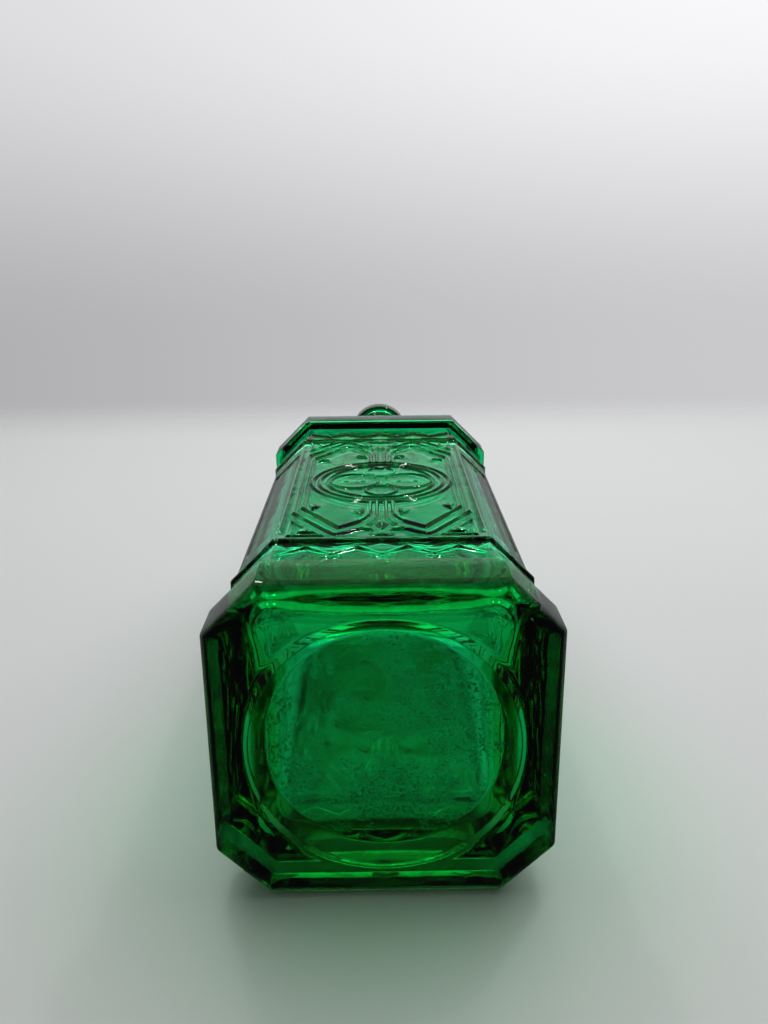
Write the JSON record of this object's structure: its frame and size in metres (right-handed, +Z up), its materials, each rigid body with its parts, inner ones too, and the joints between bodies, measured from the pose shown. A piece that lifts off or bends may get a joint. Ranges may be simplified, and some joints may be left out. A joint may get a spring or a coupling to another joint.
{
  "type": "decorative glass bottle",
  "caption": "Tall square bottle of moulded green glass with cut corners, raised strapwork panels, zig-zag bands, a long round neck and a cork stopper with a turned wooden grip.",
  "frame": {"origin": "centre of the bottle's base, in the plane that it stands on", "axes": "+Z up the axis to the mouth, -Y out of the front face, +X to the right of the front face"},
  "size_m": [0.08, 0.08, 0.3325],
  "materials": {
    "green_glass": "clear emerald-green moulded glass, fire-polished, faintly wavy",
    "cork": "natural cork with fine pores, matt",
    "turned_wood": "stained turned wood, satin"
  },
  "bodies": {
    "bottle": {"glass_bottle": "green_glass"},
    "stopper": {"cork_shank": "cork", "stopper_grip": "turned_wood"}
  },
  "joints": [
    {"name": "stopper_pull", "type": "slide", "parent": "bottle", "child": "stopper", "axis": [0, 0, 1], "range_m": [0, 0.03]}
  ]
}
